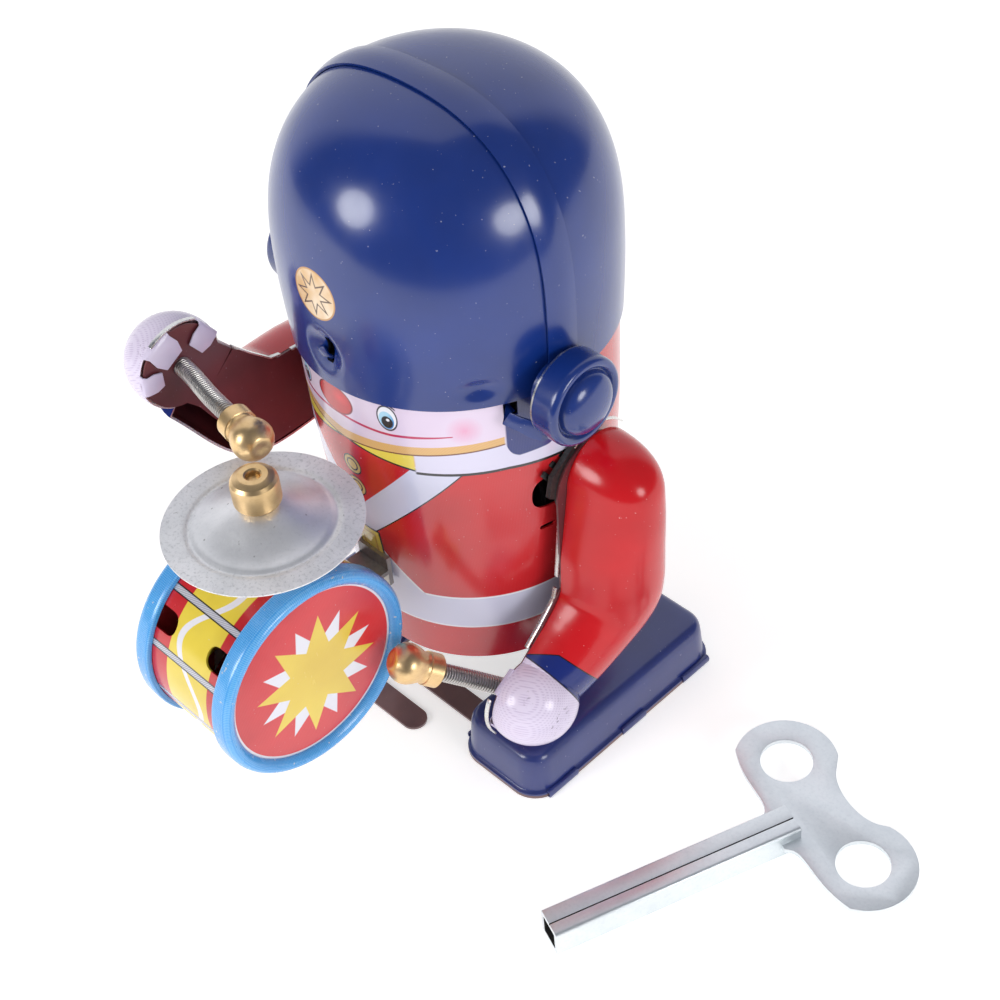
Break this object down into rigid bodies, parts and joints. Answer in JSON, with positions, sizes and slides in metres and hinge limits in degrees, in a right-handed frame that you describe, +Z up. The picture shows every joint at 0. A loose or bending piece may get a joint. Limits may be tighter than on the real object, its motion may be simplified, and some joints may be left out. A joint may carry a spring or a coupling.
{
  "type": "wind-up walking drummer toy",
  "caption": "Clockwork tin toy soldier that walks on sliding shoes, with swinging arms, a drum and a cymbal in front, and a loose winding key.",
  "frame": {"origin": "on the floor, on the axis of the round body", "axes": "+Z up, the figure faces -Y, its own left side is +X"},
  "size_m": [0.127, 0.0897, 0.1203],
  "materials": {
    "blue_tin": "gloss lacquer",
    "red_tin": "printed gloss lacquer",
    "drum_print": "printed gloss lacquer",
    "drum_rim": "printed gloss lacquer",
    "brown_lacquer": "thin dark lacquer",
    "plated_tin": "bright zinc plating",
    "brass": "turned",
    "black_plastic": "moulded",
    "steel": "plain"
  },
  "bodies": {
    "figure": {"helmet_front": "blue_tin", "helmet_back": "blue_tin", "ear_disc_left": "blue_tin", "ear_disc_right": "blue_tin", "body_front": "red_tin", "body_back": "red_tin", "floor_plate": "brown_lacquer", "drum_shell": "drum_print", "drum_rim_left": "drum_rim", "drum_rim_right": "drum_rim", "drum_head_left": "drum_print", "drum_head_right": "drum_print", "drum_bracket": "brown_lacquer", "cymbal": "plated_tin", "cymbal_post": "steel", "cymbal_nut": "brass", "movement_plate_left": "steel", "movement_plate_right": "steel", "movement_pillars": "steel", "arm_shaft_bushes": "steel", "click_pin": "steel", "mainspring": "steel"},
    "winding": {"winding_arbor": "steel", "ratchet_wheel": "steel"},
    "click": {"click": "steel"},
    "great": {"great_wheel": "brass"},
    "crank": {"crank_shaft": "steel", "crank_wheel": "brass", "crank_disc_left": "steel", "crank_disc_right": "steel"},
    "third": {"third_arbor": "steel", "third_wheel": "brass"},
    "fly": {"fly_arbor": "steel", "governor_fly": "steel"},
    "key": {"key_wing": "plated_tin", "key_shank": "plated_tin"},
    "left_arm": {"arm_shell_left": "red_tin", "arm_plate_left": "brown_lacquer", "arm_bracket_left": "black_plastic", "drive_lever_left": "steel", "stick_spring_left": "steel", "stick_knob_left": "brass"},
    "left_foot": {"leg_left": "steel", "shoe_left": "blue_tin", "sole_left": "brown_lacquer", "shoe_rivets_left": "steel"},
    "right_arm": {"arm_shell_right": "red_tin", "arm_plate_right": "brown_lacquer", "arm_bracket_right": "black_plastic", "drive_lever_right": "steel", "stick_spring_right": "steel", "stick_knob_right": "brass"},
    "right_foot": {"leg_right": "steel", "shoe_right": "blue_tin", "sole_right": "brown_lacquer", "shoe_rivets_right": "steel"}
  },
  "joints": [
    {"name": "left_arm_swing", "type": "hinge", "parent": "figure", "child": "left_arm", "pos_m": [0.0259, 0.0015, 0.057], "axis": [1, 0, 0], "range_deg": [-2.2, 14]},
    {"name": "right_arm_swing", "type": "hinge", "parent": "figure", "child": "right_arm", "pos_m": [-0.0259, 0.0015, 0.057], "axis": [1, 0, 0], "range_deg": [-14, 2.2]},
    {"name": "left_foot_step", "type": "slide", "parent": "figure", "child": "left_foot", "axis": [0, 1, 0], "range_m": [-0.0082, 0]},
    {"name": "right_foot_step", "type": "slide", "parent": "figure", "child": "right_foot", "axis": [0, 1, 0], "range_m": [0, 0.0082]},
    {"name": "wind", "type": "hinge", "parent": "figure", "child": "winding", "pos_m": [0, 0.007, 0.037], "axis": [1, 0, 0], "continuous": true},
    {"name": "click_lift", "type": "hinge", "parent": "figure", "child": "click", "pos_m": [-0.009, 0.01415, 0.0432], "axis": [1, 0, 0], "range_deg": [0, 10]},
    {"name": "great_turn", "type": "hinge", "parent": "figure", "child": "great", "pos_m": [0, 0.007, 0.037], "axis": [1, 0, 0], "continuous": true},
    {"name": "crank_turn", "type": "hinge", "parent": "figure", "child": "crank", "pos_m": [0, -0.005, 0.04796], "axis": [1, 0, 0], "continuous": true},
    {"name": "third_turn", "type": "hinge", "parent": "figure", "child": "third", "pos_m": [0, 0.008, 0.05544], "axis": [1, 0, 0], "continuous": true},
    {"name": "fly_turn", "type": "hinge", "parent": "figure", "child": "fly", "pos_m": [0, -0.004, 0.06215], "axis": [1, 0, 0], "continuous": true},
    {"name": "key_lift", "type": "slide", "parent": "figure", "child": "key", "axis": [0, 0, 1], "range_m": [0, 0.02]}
  ],
  "couplings": [
    {"joint": "right_arm_swing", "follows": "left_arm_swing", "ratio": -1},
    {"joint": "right_foot_step", "follows": "left_foot_step", "ratio": -1},
    {"joint": "crank_turn", "follows": "great_turn", "ratio": -3.3333},
    {"joint": "third_turn", "follows": "great_turn", "ratio": 10},
    {"joint": "fly_turn", "follows": "great_turn", "ratio": -26.667}
  ]
}
